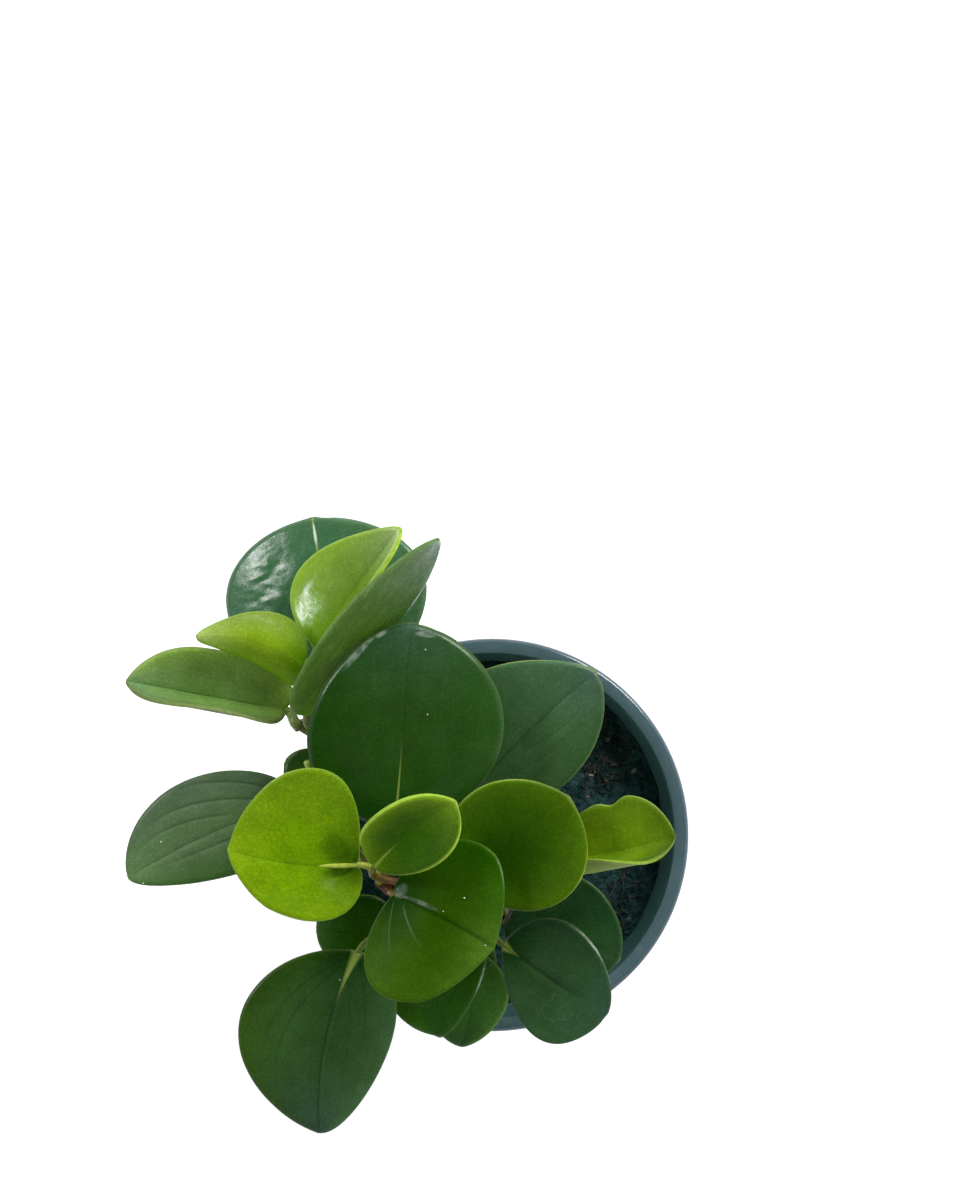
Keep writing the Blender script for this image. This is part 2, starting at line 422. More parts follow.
def skin_finish(name, look):
    """The upper skin of a leaf: its shades, clouds, grit and net, then veins, midrib, marks and margin."""
    gloss = look["gloss"]
    f = Finish(name, gloss, look["shine"])
    heel, middle, tip, left, right = [linear(shades) for shades in look["colours"]]
    share, side, half, margin = [f.own(value) for value in ("share", "side", "half", "margin")]
    gap = f.times(f.math("ABSOLUTE", side), half)
    colour = f.mix(f.span(share, 0.0, 0.45), heel, middle)
    colour = f.mix(f.span(share, 0.5, 1.0), colour, tip)
    for way, shade in ((1.0, left), (-1.0, right)):
        reach = f.math("MAXIMUM", f.times(side, way), 0.0)
        colour = f.mix(f.times(f.times(reach, reach), 0.75), colour, shade)
    colour = f.dim(colour, (0.66, 0.72, 0.6), f.spots(140, 3, 0.35, 0.7, 0.4))
    colour = f.dim(colour, (1.35, 1.28, 1.6), f.spots(75, 2, 0.45, 0.75, 0.4))
    if "patches" in look:
        colour = f.dim(colour, (0.62, 0.7, 0.55), f.spots(48, 1, 0.5, 0.56, look["patches"]))
    colour = f.dim(colour, (1.55, 1.42, 1.9), f.spots(1250, 3, 0.42, 0.7, 0.6))
    along = f.node("CombineXYZ", X=f.times(side, half), Y=f.times(share, 9.0)).outputs[0]
    streaks = f.span(f.grain(1.1, 3, vector=along), 0.5, 0.72, 0.0, look["streaks"])
    colour = f.dim(colour, (1.7, 1.55, 2.2), streaks)
    colour = f.dim(colour, (0.62, 0.72, 0.5), f.span(f.cells(420), 0.0, 0.12, look["net"], 0.0))

    veins = vein_lines(f, look["veins"], 0.0, look["vein_wide"])
    colour = f.dim(colour, (0.4, 0.5, 0.42), veins)
    if "sheen" in look:
        colour = f.tint(colour, VEIN_SHEEN, f.times(vein_lines(f, look["veins"], -0.7, 0.8), look["sheen"]))
    dark, _, reach, wide = look["crease"]
    crease = f.times(f.span(gap, 0.1, wide, dark, 0.0), f.span(share, reach - CREASE_FADE, reach, 1.0, 0.0))
    colour = f.dim(colour, (0.35, 0.45, 0.4), crease)
    outer = blended(left, right, 0.5)
    pale = blended(outer, linear(look.get("pale", PALE_RIB)), 0.55)
    strength, reach = look["rib"]
    rib = f.math("DIVIDE", gap, f.span(share, 0.0, reach, look["rib_width"], 0.4))
    rib = f.times(f.span(rib, 0.2, 1.0, strength, 0.0), f.span(share, reach * 0.55, reach, 1.0, 0.0))
    colour = f.mix(rib, colour, pale)

    if "ring" in look:
        colour = f.tint(colour, SCRATCH, ring_mark(f))
    if "shade" in look:
        place, aside = look["shade"]
        marks = ((place, aside, 0.16, 0.16, 0.9), (place + 0.05, -0.24, 0.14, 0.22, 0.65))
        colour = f.dim(colour, (0.25, 0.36, 0.1), broken_marks(f, marks, 0.8))
    if "glare" in look:
        colour = f.tint(colour, GLARE, broken_marks(f, look["glare"], 0.35))
    colour = f.mix(f.span(margin, 0.15, 0.9, look["edge"] * 0.7, 0.0), colour, blended(outer, pale, 0.5))
    rough = f.span(f.grain(420), 0.25, 0.75, gloss - 0.05, gloss + 0.07)
    f.roughness(f.mix(f.span(margin, 0.8, 2.0, 1.0, 0.0), rough, 0.3, kind="FLOAT"))
    height = f.add(f.cells(420), 0.3, f.times(f.grain(2600, 1), 0.2))
    height = f.add(veins, -0.8, f.add(f.grain(300, 3), 1.0, height))
    return f.done(colour, f.add(crease, -0.5, height), 0.00011, 0.7)


def under_finish(name, look):
    """The under side of a leaf: paler and duller, with the veins a little lighter."""
    f = Finish(name, 0.55, 0.3)
    base = blended(linear(look["colours"][3]), linear(PALE_UNDER), 0.4)
    if "under" in look:
        base = linear(look["under"])
    light = tuple(min(1.0, c * 1.4 + 0.03) for c in base)
    colour = f.dim(base, (0.7, 0.8, 0.6), f.spots(180, 3, 0.3, 0.7, 0.5))
    colour = f.mix(f.times(f.own("vein"), 0.4), colour, light)
    colour = f.mix(f.span(f.cells(520), 0.0, 0.14, 0.15, 0.0), colour, light)
    return f.done(colour, f.add(f.cells(520), -0.6, f.grain(2400, 1)), 0.00012, 0.6)


def rim_finish(name, look):
    """The rounded margin, a little paler where light comes through the flesh."""
    f = Finish(name, 0.45, 0.02)
    pale = linear(look.get("pale", PALE_MARGIN))
    base = blended(linear(look["colours"][3]), pale, 0.2 + 0.36 * look["edge"])
    colour = f.dim(base, (0.7, 0.78, 0.5), f.spots(500, 2, 0.35, 0.7, 0.8))
    return f.done(colour, f.grain(900), 0.0001, 0.5)


def stalk_finish(name, green, brown, reach):
    """A leaf stalk: green, browner towards the stem, with fine lines along it."""
    f = Finish(name, 0.36, 0.4)
    colour = f.mix(f.span(f.own("share"), 0.0, reach, 1.0, 0.0), linear(green), linear(brown))
    colour = f.dim(colour, (0.55, 0.6, 0.45), f.spots(700, 3, 0.35, 0.7, 0.6))
    colour = f.tint(colour, (150, 140, 90), f.spots(1500, 2, 0.66, 0.74, 0.4))
    return f.done(colour, f.grain(900, 3), 0.0002, 0.6)


def bark_finish():
    """Brown woody skin of a stem: darker wrinkles, pale corky specks and green on the young end at the left."""
    f = Finish("stem_bark", 0.55, 0.35)
    wrinkle = f.grain(420, 5, (1, 1, 0.35))
    colour = f.mix(f.span(wrinkle, 0.35, 0.65), linear((64, 40, 12)), linear((130, 80, 34)))
    colour = f.tint(colour, (60, 58, 14), f.spots(90, 2, 0.52, 0.7, 0.6))
    colour = f.tint(colour, (146, 112, 72), f.spots(1500, 2, 0.64, 0.72, 0.6))
    young = f.times(f.span(f.axis("X"), -0.055, -0.061), f.span(f.axis("Y"), 0.03, 0.034))
    colour = f.mix(f.times(young, 0.9), colour, f.mix(wrinkle, linear((92, 116, 44)), linear((120, 140, 70))))
    return f.done(colour, f.add(f.grain(2200), 0.3, wrinkle), 0.0006, 0.9)


def plastic_finish():
    """Blue-grey moulded plastic: clouds, fine grain and scuffs, a darker top edge and greener inside."""
    f = Finish("pot_plastic", 0.3, 0.65)
    away, height = f.away(), f.axis("Z")
    colour = f.mix(f.spots(28, 3, 0.3, 0.7), linear((68, 94, 101)), linear((80, 105, 112)))
    colour = f.dim(colour, (1.3, 1.25, 1.2), f.spots(1100, 2, 0.55, 0.72, 0.6))
    top_edge = f.times(f.span(away, 0.0688, 0.0697, 0.0, 0.7), f.span(height, 0.1163, 0.1172))
    colour = f.tint(colour, (62, 60, 74), top_edge)
    inside = f.span(f.add(height, -TAPER, away), 0.0442, 0.0449, 1.0, 0.0)
    colour = f.tint(colour, (60, 97, 96), inside)
    colour = f.tint(colour, (150, 160, 164), f.spots(160, 6, 0.6, 0.68, 0.1, stretch=(1, 1, 5)))
    dull = f.span(f.grain(220, 3), 0.3, 0.7, 0.38, 0.5)
    f.roughness(f.mix(f.span(away, 0.068, 0.0685), dull, 0.1, kind="FLOAT"))
    return f.done(colour, f.add(f.grain(300), 0.6, f.grain(2600)), 0.00006, 0.4)


def soil_finish():
    """Moist peat: blue-black crumbs with brown and a few light grains."""
    f = Finish("soil_crumbs", 0.8, 0.25)
    colour = f.mix(f.spots(240, 6, 0.42, 0.66), linear((6, 50, 50)), linear((40, 80, 78)))
    colour = f.tint(colour, (84, 84, 76), f.spots(640, 4, 0.6, 0.72, 0.6))
    colour = f.tint(colour, (2, 26, 28), f.span(f.cells(900), 0.02, 0.1, 0.6, 0.0))
    colour = f.tint(colour, (150, 140, 128), f.spots(1500, 2, 0.7, 0.76, 0.6))
    return f.done(colour, f.add(f.grain(2400, 3), 0.5, f.grain(700, 6)), 0.0012, 1.0)


def chip_finish():
    """Bark chips and fibres in the soil, each of its own tone."""
    f = Finish("bark_chips", 0.75, 0.25)
    tone = f.own("tone")
    colour = f.mix(f.span(tone, 0.4, 0.85), linear((14, 42, 42)), linear((104, 90, 78)))
    colour = f.tint(colour, (176, 156, 140), f.span(tone, 0.85, 1.0))
    colour = f.tint(colour, (24, 40, 38), f.spots(1100, 4, 0.4, 0.62, 0.7, stretch=(1, 1, 3)))
    return f.done(colour, f.grain(1600, 4), 0.0005, 0.9)


def dust_finish():
    """Pale dust specks on the leaves."""
    f = Finish("pale_dust", 0.8, 0.2)
    colour = f.mix(f.spots(1500, 2, 0.35, 0.65), linear((196, 200, 176)), linear((236, 238, 226)))
    return f.done(colour, f.grain(3000), 0.0001, 0.5)


def floor_finish():
    """Plain white paper that glows a little, so that shadows stay faint."""
    f = Finish("floor_paper", 0.9, 0.1)
    paper = f.mix(f.spots(3, 2, 0.3, 0.7), (0.84, 0.84, 0.845, 1), (0.86, 0.86, 0.86, 1))
    for socket in ("Base Color", "Emission Color"):
        f.put(f.shader.inputs[socket], paper)
    f.shader.inputs["Emission Strength"].default_value = FLOOR_GLOW
    return f.material


# Shape helpers

def smooth_line(points, count):
    """Evenly spaced points, and their directions, on a smooth line through the given points."""
    corners = [Vector(point) for point in points]
    corners = [corners[0] * 2 - corners[1], *corners, corners[-1] * 2 - corners[-2]]
    dense = []
    for a, b, c, d in zip(corners, corners[1:], corners[2:], corners[3:]):
        t1 = (b - a).length ** 0.5
        t2 = t1 + (c - b).length ** 0.5
        t3 = t2 + (d - c).length ** 0.5
        for step in range(24):
            t = t1 + (t2 - t1) * step / 24
            ab, bc, cd = a.lerp(b, t / t1), b.lerp(c, (t - t1) / (t2 - t1)), c.lerp(d, (t - t2) / (t3 - t2))
            abc, bcd = ab.lerp(bc, t / t2), bc.lerp(cd, (t - t1) / (t3 - t1))
            dense.append(abc.lerp(bcd, (t - t1) / (t2 - t1)))
    dense.append(corners[-2])
    lengths = np.cumsum([0.0] + [(b - a).length for a, b in zip(dense, dense[1:])])
    places = []
    for step in range(count + 1):
        wanted = lengths[-1] * step / count
        index = min(max(np.searchsorted(lengths, wanted) - 1, 0), len(dense) - 2)
        part = (wanted - lengths[index]) / max(lengths[index + 1] - lengths[index], 1e-9)
        places.append(dense[index].lerp(dense[index + 1], part))
    ways = [(places[min(index + 1, count)] - places[max(index - 1, 0)]).normalized() for index in range(count + 1)]
    return places, ways


def linked(name, data):
    made = bpy.data.objects.new(name, data)
    bpy.context.scene.collection.objects.link(made)
    return made


def added(operator, **settings):
    """The new object that an operator adds, with nothing else selected."""
    bpy.ops.object.select_all(action="DESELECT")
    operator(**settings)
    return bpy.context.object


def edit_all():
    bpy.ops.object.mode_set(mode="EDIT")
    bpy.ops.mesh.select_all(action="SELECT")


def face_out():
    """Turns all faces outward and leaves edit mode."""
    bpy.ops.mesh.select_all(action="SELECT")
    bpy.ops.mesh.normals_make_consistent(inside=False)
    bpy.ops.object.mode_set(mode="OBJECT")


def read_corners(made):
    spots = np.empty(len(made.data.vertices) * 3)
    made.data.vertices.foreach_get("co", spots)
    return spots.reshape(-1, 3)


def write_corners(made, spots):
    made.data.vertices.foreach_set("co", np.asarray(spots, float).ravel())
    made.data.update()


def keep_value(made, name, values):
    kept = made.data.attributes.new(name, "FLOAT", "POINT")
    kept.data.foreach_set("value", np.asarray(values, np.float32))


def nearest(spots, places):
    """The places in metres, and for each corner the number of the nearest one."""
    centres = np.array([list(place * MM) for place in places])
    return centres, [int(np.argmin(((centres - spot) ** 2).sum(1))) for spot in spots]


def noise_at(places, scale, shift=(0, 0, 0)):
    return np.array([noise.noise(Vector(place) * scale + Vector(shift)) for place in places])


def joined(name, pieces):
    bpy.ops.object.select_all(action="DESELECT")
    for piece in pieces:
        piece.select_set(True)
    bpy.context.view_layer.objects.active = pieces[0]
    bpy.ops.object.join()
    pieces[0].name = name
    return pieces[0]


def apply_modifier(made, kind, **settings):
    bpy.context.view_layer.objects.active = made
    modifier = made.modifiers.new(kind.lower(), kind)
    for key, value in settings.items():
        setattr(modifier, key, value)
    bpy.ops.object.modifier_apply(modifier=modifier.name)


def shown_for(made, node):
    """Rides on the pot's body, in place of the solid of a node if there is one."""
    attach(made, "root")
    if node:
        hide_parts(node)


def tube(name, places, radii, sides, values=None):
    """A closed round tube through the places in mm, with its own radius at each."""
    bpy.ops.object.select_all(action="DESELECT")
    line = bpy.data.curves.new(name, "CURVE")
    line.dimensions = "3D"
    spline = line.splines.new("POLY")
    spline.points.add(len(places) - 1)
    for point, place, radius in zip(spline.points, places, radii):
        point.co = (*(place * MM), 1.0)
        point.radius = radius * MM
    line.bevel_depth = 1.0
    line.bevel_resolution = max(0, sides // 4 - 1)
    line.use_fill_caps = True
    line.twist_mode = "MINIMUM"
    made = linked(name, line)
    made.select_set(True)
    bpy.context.view_layer.objects.active = made
    bpy.ops.object.convert(target="MESH")
    made = bpy.context.object
    edit_all()
    bpy.ops.mesh.remove_doubles(threshold=1e-6)
    face_out()
    bpy.ops.object.shade_smooth()
    if values is not None:
        keep_value(made, "share", np.array(values)[nearest(read_corners(made), places)[1]])
    return made


# Leaf shape

def rib_at(leaf, share):
    """How far along and above its chord the midrib is, and its slope there."""
    arch = math.radians(leaf["arch"])
    slope = arch * (0.5 - share)
    along = leaf["length"] * (math.sin(arch / 2) - np.sin(slope)) / arch
    above = leaf["length"] * (np.cos(slope) - math.cos(arch / 2)) / arch
    return along, above, slope


def blade_at(leaf, t, s):
    """Points of the blade's middle surface in its own axes, t from heel to tip, s from -1 right to 1 left."""
    left = s > 0

    def pick(key):
        return np.where(left, *np.broadcast_to(leaf[key], 2))

    angle = math.pi * t
    width = pick("width")
    pointed = leaf["heel"] * (1 - t) + leaf["tip"] * t
    place, spread, depth = leaf.get("dent", (0, 1, 0))
    dent = np.where(left, depth * np.exp(-(((t - place) / spread) ** 2)), 0)
    half = width * np.sin(np.clip(angle, 0, math.pi)) ** pointed * (1 + pick("belly") * np.cos(angle)) * (1 - dent)
    reach = np.abs(s)
    back = pick("lobe") * np.sin(math.pi * np.clip(t / HEEL_REACH, 0, 1)) * reach ** 1.5
    share = (1 - np.cos(angle)) / 2 - back / leaf["length"]
    fold = np.radians(pick("fold"))
    cup = np.radians(pick("cup"))
    turn = np.where(np.abs(cup) < 1e-4, 1e-4, cup) / width
    distance = half * reach
    out = (np.sin(fold + turn * distance) - np.sin(fold)) / turn
    up = (np.cos(fold) - np.cos(fold + turn * distance)) / turn
    along, above, slope = rib_at(leaf, share)
    places = np.stack([
        along - np.sin(slope) * up,
        np.sign(s) * out + leaf["bow"] * 4 * share * (1 - share),
        above + np.cos(slope) * up], axis=-1)
    return places, half, share


def placement(leaf):
    """The blade's turn, and the place of its heel in mm."""
    x, y, z = leaf["foot"]
    turn = (Matrix.Rotation(math.radians(leaf["heading"]), 3, "Z")
            @ Matrix.Rotation(math.radians(-leaf["pitch"]), 3, "Y")
            @ Matrix.Rotation(math.radians(leaf["roll"]), 3, "X"))
    return turn, Vector((x, y, RIM + z))


def smooth_step(value, low, high):
    part = np.clip((value - low) / (high - low), 0, 1)
    return part * part * (3 - 2 * part)


def vein_weights(look, t, s, half):
    """How near each point is to a side vein, from 0 to 1, and how deep the vein lies there in mm."""
    near = np.zeros_like(t)
    deep = np.zeros_like(t)
    for start, spread, rate, end, depth, _ in VEINS[look["veins"]]:
        line = spread * (1 - np.exp(-VEIN_TURN * rate * np.clip(t - start, 0, 1)))
        gap = np.abs(s - line) * half
        fade = smooth_step(t, start + VEIN_START[0], start + VEIN_START[1])
        fade *= 1 - smooth_step(t, end - VEIN_FADE, end)
        near = np.maximum(near, np.exp(-(gap / 0.6) ** 2) * fade)
        deep = np.maximum(deep, depth * np.exp(-(gap / 1.2) ** 2) * fade)
    return near, deep


def edge_distance(places, t, s):
    """How far each place is from the closed line of the margin."""
    at_edge = np.abs(s) > 0.999
    around = t[at_edge] * np.sign(s[at_edge])
    edge = places[at_edge][np.argsort(np.where(around > 0, around, 2.5 + around))]
    closest = np.full(len(places), 1e9)
    for a, b in zip(edge, np.roll(edge, -1, axis=0)):
        way = b - a
        part = np.clip(((places - a) @ way) / max(way @ way, 1e-12), 0, 1)
        closest = np.minimum(closest, ((places - a - part[:, None] * way) ** 2).sum(1))
    return np.sqrt(closest)


def blade_facing(leaf, t, s):
    """The way that the blade's upper side faces at each point."""
    small = 1e-3
    t_in = np.clip(t, 2 * small, 1 - 2 * small)
    s_in = np.clip(s, -1 + small, 1 - small)
    s_in = np.where(np.abs(s_in) < 2 * small, 2 * small, s_in)
    ahead = blade_at(leaf, t_in + small, s)[0] - blade_at(leaf, t_in - small, s)[0]
    left = blade_at(leaf, t_in, s_in + small)[0] - blade_at(leaf, t_in, s_in - small)[0]
    facing = np.cross(ahead, left)
    return facing / np.maximum(np.linalg.norm(facing, axis=1, keepdims=True), 1e-12)


def blade_lift(leaf, look, places, t, s, half, margin, seed):
    """How far in mm dimples, midrib, side veins, dips and the rounded margin lift or sink each point."""
    _, sunk, reach, wide = look["crease"]
    groove = sunk * np.exp(-(np.abs(s) * half / (0.6 + 0.6 * wide)) ** 2) * smooth_step(t, 0.02, 0.12)
    groove *= 1 - smooth_step(t, reach - CREASE_FADE, reach)
    deep = vein_weights(look, t, s, half)[1]
    uneven = look["dimples"] * noise_at(places, 0.11, (seed * 3.7, 0, 0))
    uneven += look["puckers"] * noise_at(places, 0.3, (0, seed * 5.1, 0))
    ease = np.sin(math.pi * t) ** 0.5 * (1 - np.abs(s) ** 6)
    lift = ease * (uneven - groove - deep)
    bead = look["bead"]
    inner = np.clip(bead - margin, 0, 0.8 * bead)
    lift -= (bead - np.sqrt(bead ** 2 - inner ** 2)) * smooth_step(t, 0.0, 0.06)
    if "rough_patch" in look:
        patch_t, patch_s, long, wide, depth = look["rough_patch"]
        patch = np.exp(-((t - patch_t) / long) ** 2 - ((s - patch_s) / wide) ** 2)
        lift += ease * patch * depth * (noise_at(places, 0.75, (7.0, seed, 0)) + 0.5 * noise_at(places, 1.7))
    for dip_t, dip_s, radius, depth in look.get("dips", ()):
        middle = blade_at(leaf, np.array([dip_t]), np.array([dip_s]))[0]
        lift -= depth * np.exp(-((places - middle) ** 2).sum(1) / radius ** 2)
    return lift


def make_blade(leaf, look, finishes, seed):
    """Turns a flat grid into the leaf's blade and gives it its thickness and rounded margin."""
    rows, columns = LARGE_GRID if leaf["length"] > LARGE_LEAF else SMALL_GRID
    made = added(bpy.ops.mesh.primitive_grid_add, x_subdivisions=columns, y_subdivisions=rows, size=2)
    flat = read_corners(made)
    t = np.clip((flat[:, 1] + 1) / 2, 0, 1)
    # Columns lie close together at the midrib and at the margin
    s = -flat[:, 0] + 0.62 * np.sin(2 * math.pi * flat[:, 0]) / (2 * math.pi)
    places, half, _ = blade_at(leaf, t, s)
    margin = edge_distance(places, t, s)
    near, _ = vein_weights(look, t, s, half)
    lift = blade_lift(leaf, look, places, t, s, half, margin, seed)
    turn, foot = placement(leaf)
    lifted = places + blade_facing(leaf, t, s) * lift[:, None]
    write_corners(made, (lifted @ np.array(turn).T + np.array(foot)) * MM)
    for name, values in (("share", t), ("side", s), ("half", half), ("margin", margin), ("vein", near)):
        keep_value(made, name, values)
    edit_all()
    bpy.ops.mesh.remove_doubles(threshold=1e-5)
    bpy.ops.object.mode_set(mode="OBJECT")
    for finish in finishes:
        made.data.materials.append(finish)
    apply_modifier(made, "SOLIDIFY", thickness=BLADE_THICKNESS * MM, offset=0.0, use_even_offset=False,
                   material_offset=1, material_offset_rim=2)
    apply_modifier(made, "BEVEL", width=MARGIN_ROUND * MM, segments=3, limit_method="ANGLE",
                   angle_limit=math.radians(50), use_clamp_overlap=True)
    bpy.ops.object.shade_smooth()
    return made


def stem_line(stem, count):
    """Places and directions along a stem, in mm."""
    points = [(*stem["foot"], z) for z in STEM_FEET] + stem["points"]
    return smooth_line([(x, y, RIM + z) for x, y, z in points], count)


def stalk_points(leaf, ridge):
    """The line of a leaf's stalk, from just clear of the stem to the heel, and on under the midrib."""
    stem = STEMS[leaf["stem"]]
    turn, foot = placement(leaf)
    places, ways = stem_line(stem, 200)
    axis, along = places[round(leaf["at"] * 200)], ways[round(leaf["at"] * 200)]

    def on_rib(share, below):
        ahead, above, _ = rib_at(leaf, share)
        sideways = leaf["bow"] * 4 * share * (1 - share)
        return turn @ Vector((float(ahead), sideways, float(above) - below)) + foot

    heel = on_rib(0.0, STALK_DEPTH)
    if leaf["at"] < 1:
        away = heel - axis + (on_rib(1.0, 0.0) - heel).normalized() * LEAF_PULL
        away = (away - along * away.dot(along)).normalized()
        start = axis + away * (stem["radius"][0] * 0.9)
    else:
        away = along.normalized()
        start = axis + away * 0.2
    span = (start - heel).length
    arrive = ((heel - on_rib(0.1, STALK_DEPTH)).normalized() + (start - heel).normalized()).normalized()
    free = [start, start + away * min(1.5, span * 0.2), heel + arrive * min(5.0, span * 0.3), heel]
    return free, [on_rib(share, ridge + 0.5 * share) for share in (0.06, 0.14, 0.26, 0.4, 0.56)]


def make_leaf(leaf, seed):
    look = {**PLAIN_LOOK, **LOOKS[leaf["name"]]}
    name = "fine_leaf_" + leaf["name"]
    finishes = (skin_finish(name + "_skin", look), under_finish(name + "_under", look),
                rim_finish(name + "_edge", look))
    stalk_skin = stalk_finish(name + "_stalk", look["stalk"], look["warm"], look["brown"])
    pieces = [make_blade(leaf, look, finishes, seed)]
    free, under = stalk_points(leaf, look["ridge"])
    places, _ = smooth_line(free + under, STALK_STEPS)
    heel_index = min(range(len(places)), key=lambda index: (places[index] - free[-1]).length)
    heel_part = max(heel_index / STALK_STEPS, 0.05)
    parts = np.arange(STALK_STEPS + 1) / STALK_STEPS
    radii = leaf.get("stalk", STALK_RADIUS) * (1.1 - 0.3 * np.minimum(1.0, parts / heel_part))
    radii *= 1 - 0.72 * np.clip((parts - heel_part) / (1 - heel_part), 0, 1)
    radii[0] *= 1.2
    stalk = tube(name + "_stalk", places, radii, 16, parts)
    stalk.data.materials.append(stalk_skin)
    pieces.append(stalk)
    if "side_stalk" in leaf:
        x, y, z = leaf["side_stalk"]
        root, tip = places[int(heel_index * 0.75)], Vector((x, y, RIM + z))
        steps = [root.lerp(tip, part / 6) for part in range(7)]
        branch = tube(name + "_branch", steps, [0.7, 0.75, 0.8, 0.85, 0.95, 1.05, 1.2], 12, [0.9] * 7)
        pale = (150, 178, 72)
        branch.data.materials.append(stalk_finish(name + "_branch", pale, pale, 0.5))
        pieces.append(branch)
    made = joined(name, pieces)
    shown_for(made, "leaf_" + leaf["name"])


def make_stem(name, stem, bark):
    """A stem with swollen rings where leaves grew, wrinkled along its length."""
    places, _ = stem_line(stem, STEM_STEPS)
    thick, thin = stem["radius"]
    parts = np.arange(STEM_STEPS + 1) / STEM_STEPS
    rings = np.abs(np.sin(parts * math.pi * 9)) ** 10
    made = tube("fine_stem_" + name, places, (thick + (thin - thick) * parts) * (0.95 + 0.09 * rings), 24)
    spots = read_corners(made)
    centres, found = nearest(spots, places)
    middles = centres[found]
    bump = noise_at(spots, 380) * 0.05 + noise_at(spots, 1100) * 0.03
    write_corners(made, middles + (spots - middles) * (1 + bump[:, None]))
    made.data.materials.append(bark)
    shown_for(made, "stem_" + name)


# Pot and soil

def make_pot(plastic):
    """The pot's wall is drawn in section, radius and height in mm, and spun round."""
    lip_foot = RIM - LIP_HEIGHT
    inner_foot = FOOT_RADIUS - WALL
    section = [(0, 0.6), (43, 0.6), (43.6, 0), (45, 0), (46.2, 0.6), (FOOT_RADIUS, 2)]
    section += [(radius, lip_foot + up) for radius, up in (
        (65, 0), (65.6, 0.1), (69.2, 0.2), (69.8, 0.6), (RIM_RADIUS, 1.4))]
    section += [(radius, RIM - down) for radius, down in (
        (RIM_RADIUS, 2.2), (69.92, 1.5), (69.7, 0.9), (69.38, 0.46), (69.0, 0.2), (68.6, 0.06), (68.1, 0.03),
        (65.3, 0.2), (64.9, 0.4), (64.6, 0.9), (64.3, 2.2))]
    section += [(inner_foot + TAPER * height, height) for height in (SOIL_TOP, POT_FLOOR)] + [(0, POT_FLOOR)]
    made = added(bpy.ops.mesh.primitive_circle_add, vertices=len(section), radius=0.05)
    write_corners(made, [(radius * MM, 0, height * MM) for radius, height in section])
    edit_all()
    bpy.ops.mesh.spin(steps=POT_STEPS, angle=2 * math.pi, center=(0, 0, 0), axis=(0, 0, 1))
    bpy.ops.mesh.select_all(action="SELECT")
    bpy.ops.mesh.remove_doubles(threshold=1e-6)
    bpy.ops.mesh.select_all(action="SELECT")
    bpy.ops.mesh.delete_loose()
    face_out()
    bpy.ops.object.shade_smooth_by_angle(angle=math.radians(28))
    made.name = "fine_pot"
    made.data.materials.append(plastic)
    shown_for(made, "pot")


def soil_height(x, y):
    """The soil's surface in mm: a low mound with lumps and crumbs."""
    reach = math.hypot(x, y) / SOIL_RADIUS
    height = SOIL_TOP + SOIL_MOUND * (1 - reach * reach)
    height += 0.7 * (math.sin(x * 0.31 + 1) * math.cos(y * 0.27) + 0.6 * math.sin(x * 0.13 - y * 0.41))
    height += abs(noise.noise(Vector((x, y, 9.0)) * 0.33))
    for depth, level, scale in ((1.1, 3.0, 0.12), (0.9, 1.0, 0.7), (0.4, 5.0, 1.4)):
        height += depth * noise.noise(Vector((x, y, level)) * scale)
    return height


def make_soil(crumbs):
    """A fine grid, made round and lumpy, with a rim that goes down inside the pot."""
    made = added(bpy.ops.mesh.primitive_grid_add, x_subdivisions=SOIL_CELLS, y_subdivisions=SOIL_CELLS, size=2)
    flat = read_corners(made)
    x = flat[:, 0] * np.sqrt(1 - flat[:, 1] ** 2 / 2) * (SOIL_RADIUS + SOIL_REACH)
    y = flat[:, 1] * np.sqrt(1 - flat[:, 0] ** 2 / 2) * (SOIL_RADIUS + SOIL_REACH)
    write_corners(made, [(a * MM, b * MM, soil_height(a, b) * MM) for a, b in zip(x, y)])
    bpy.ops.object.mode_set(mode="EDIT")
    bpy.ops.mesh.select_mode(type="EDGE")
    bpy.ops.mesh.select_all(action="DESELECT")
    bpy.ops.mesh.select_non_manifold()
    bpy.ops.mesh.extrude_edges_move(TRANSFORM_OT_translate={"value": (0, 0, -0.012)})
    bpy.ops.transform.resize(value=(0.96, 0.96, 1), center_override=(0, 0, 0))
    bpy.ops.mesh.edge_face_add()
    face_out()
    bpy.ops.object.shade_smooth()
    made.name = "fine_soil"
    made.data.materials.append(crumbs)
    shown_for(made, "soil")


def near_heap(chance, heaps, wide, deep):
    """A place in one of the heaps, in mm."""
    x, y = chance.choice(heaps)
    x += chance.gauss(0, wide)
    y += chance.gauss(0, deep)
    return x, y


def chip_patterns():
    """Five rough lumps, about 1 mm across before they are sized."""
    patterns = []
    for number in range(5):
        chip = added(bpy.ops.mesh.primitive_ico_sphere_add, subdivisions=2, radius=0.5)
        spots = read_corners(chip)
        pushes = np.stack([noise_at(spots, 3.2, (number * 9.0, shift, 0)) for shift in (0, 17, 34)], axis=-1)
        write_corners(chip, spots + pushes * 0.44)
        patterns.append(chip)
    return patterns


